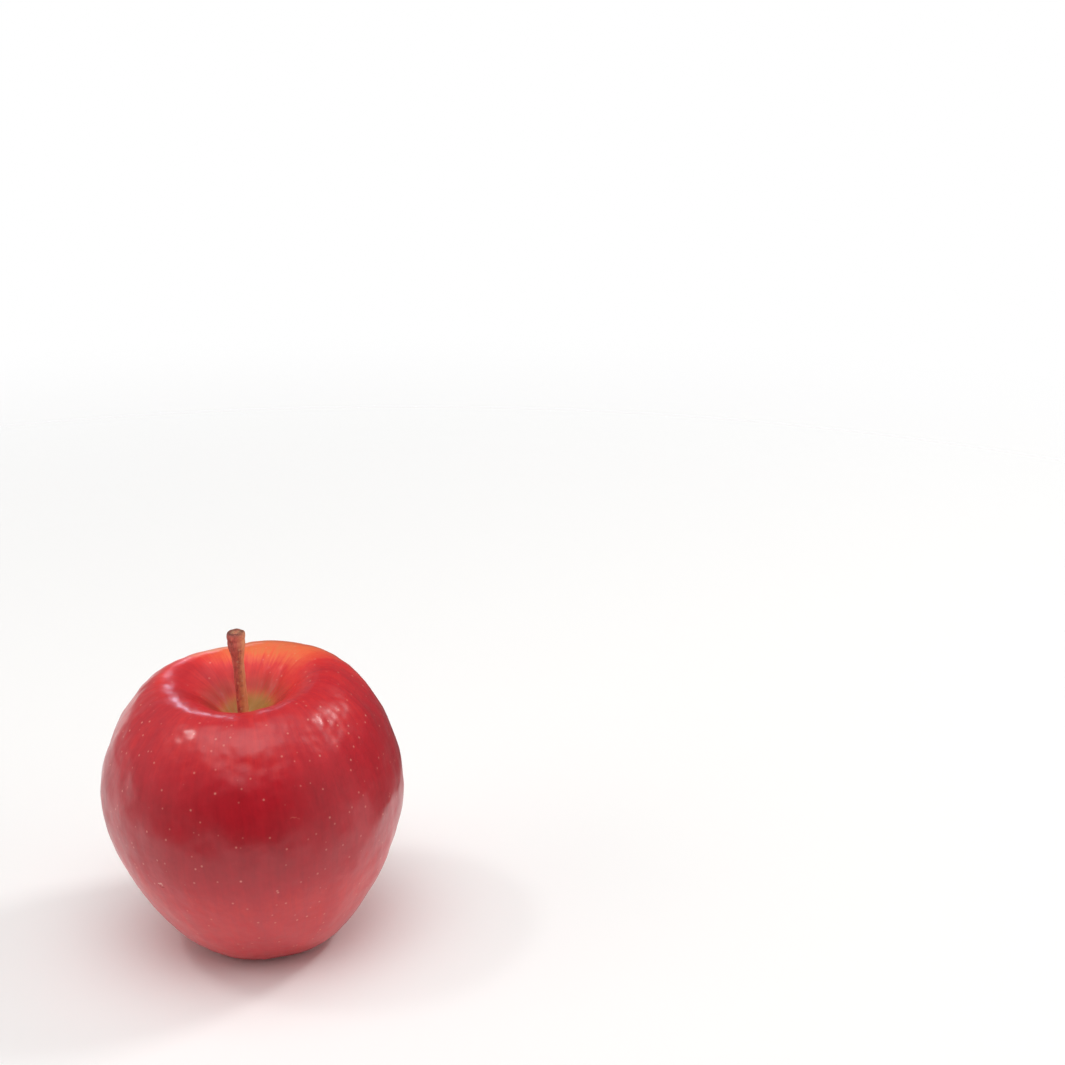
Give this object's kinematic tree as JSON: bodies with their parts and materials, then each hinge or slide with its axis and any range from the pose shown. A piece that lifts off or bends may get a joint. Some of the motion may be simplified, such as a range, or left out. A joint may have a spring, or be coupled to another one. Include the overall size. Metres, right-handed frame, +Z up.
{
  "type": "apple",
  "caption": "Whole red dessert apple with its stem in a deep cavity, standing on the lobes of its calyx end, with dried sepals underneath.",
  "frame": {"origin": "on the surface the apple stands on, under the centre of its bounding box", "axes": "+Z up along the core towards the stem; the side that faces the viewer is -Y, and the higher shoulder is towards +Y"},
  "size_m": [0.0758, 0.0782, 0.0815],
  "materials": {
    "skin": "satin, waxy crimson skin with pale dots, orange near the stem and green in the cavity",
    "stem_wood": "dry, fibrous, reddish brown, greenish at the foot",
    "sepal_leaf": "dried leaf, matte brown and downy",
    "stamen_hair": "dried filaments, matte dark brown"
  },
  "bodies": {
    "root": {"apple_body": "skin", "stem": "stem_wood", "sepal_1": "sepal_leaf", "sepal_2": "sepal_leaf", "sepal_3": "sepal_leaf", "sepal_4": "sepal_leaf", "sepal_5": "sepal_leaf", "stamen_tuft": "stamen_hair"}
  },
  "joints": []
}
